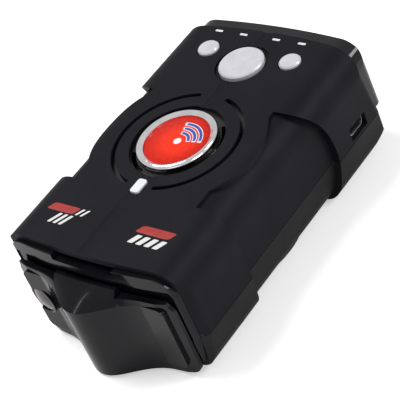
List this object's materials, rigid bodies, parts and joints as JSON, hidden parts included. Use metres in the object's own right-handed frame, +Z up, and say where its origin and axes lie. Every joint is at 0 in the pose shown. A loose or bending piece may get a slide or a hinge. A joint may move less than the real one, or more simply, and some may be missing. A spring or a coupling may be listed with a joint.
{
  "type": "radar detector",
  "caption": "Dash-top radar detector: matte case with gloss prow and smoked display end, round badge with sound slots, silver press keys and a side power socket.",
  "frame": {"origin": "centre of the footprint, on the plane the rubber feet stand on", "axes": "+X to the side with the socket, +Y from the nose to the display end, +Z up"},
  "size_m": [0.0694, 0.1214, 0.0415],
  "materials": {
    "soft_black": "soft-touch satin",
    "case_black": "fine grain moulded",
    "gloss_black": "high gloss",
    "smoked": "smoked high gloss",
    "lens_red": "dark lens",
    "silver_key": "silver lacquer",
    "chrome_trim": "bright plated",
    "badge_red": "lacquered",
    "clear": "clear resin",
    "white_pipe": "translucent white",
    "rubber": "matt",
    "steel": "bright tin plate",
    "screw_black": "black oxide",
    "board_green": "solder mask",
    "chip_black": "moulded",
    "plunger_dark": "moulded",
    "cast_zinc": "as cast",
    "cap_sleeve": "sleeved can",
    "display_grey": "grey face",
    "paper_cone": "pressed paper",
    "ferrite": "dark ferrite",
    "flex_amber": "polyimide"
  },
  "bodies": {
    "housing": {"upper_case": "soft_black", "lower_case": "case_black", "front_bezel": "gloss_black", "nose_cover": "gloss_black", "display_window": "smoked", "laser_lens": "lens_red", "laser_sensor": "chip_black", "laser_board": "board_green", "sound_insert": "gloss_black", "badge_ring": "chrome_trim", "badge_disc": "badge_red", "badge_dome": "clear", "indicator_pipe": "white_pipe", "indicator_led": "white_pipe", "menu_switch": "steel", "up_switch": "steel", "down_switch": "steel", "main_board": "board_green", "processor": "chip_black", "small_chips": "chip_black", "capacitors": "cap_sleeve", "usb_socket": "steel", "usb_contacts": "chip_black", "horn_antenna": "cast_zinc", "radio_board": "board_green", "shield_can": "steel", "radio_flex": "flex_amber", "speaker_gasket": "rubber", "speaker_basket": "ferrite", "speaker_magnet": "steel", "speaker_cone": "paper_cone", "display_board": "board_green", "led_display": "display_grey", "display_header": "chip_black", "rear_sensor": "lens_red", "rubber_feet": "rubber", "case_screws": "screw_black", "board_screws": "steel", "horn_screws": "steel"},
    "menu_button": {"menu_button": "silver_key", "menu_plunger": "plunger_dark"},
    "up_button": {"up_button": "silver_key", "up_plunger": "plunger_dark"},
    "down_button": {"down_button": "silver_key", "down_plunger": "plunger_dark"}
  },
  "joints": [
    {"name": "menu_press", "type": "slide", "parent": "housing", "child": "menu_button", "axis": [0, 0, -1], "range_m": [0, 0.0005], "stiffness_N_per_m": 1500},
    {"name": "up_press", "type": "slide", "parent": "housing", "child": "up_button", "axis": [0, 0, -1], "range_m": [0, 0.0005], "stiffness_N_per_m": 1500},
    {"name": "down_press", "type": "slide", "parent": "housing", "child": "down_button", "axis": [0, 0, -1], "range_m": [0, 0.0005], "stiffness_N_per_m": 1500}
  ]
}
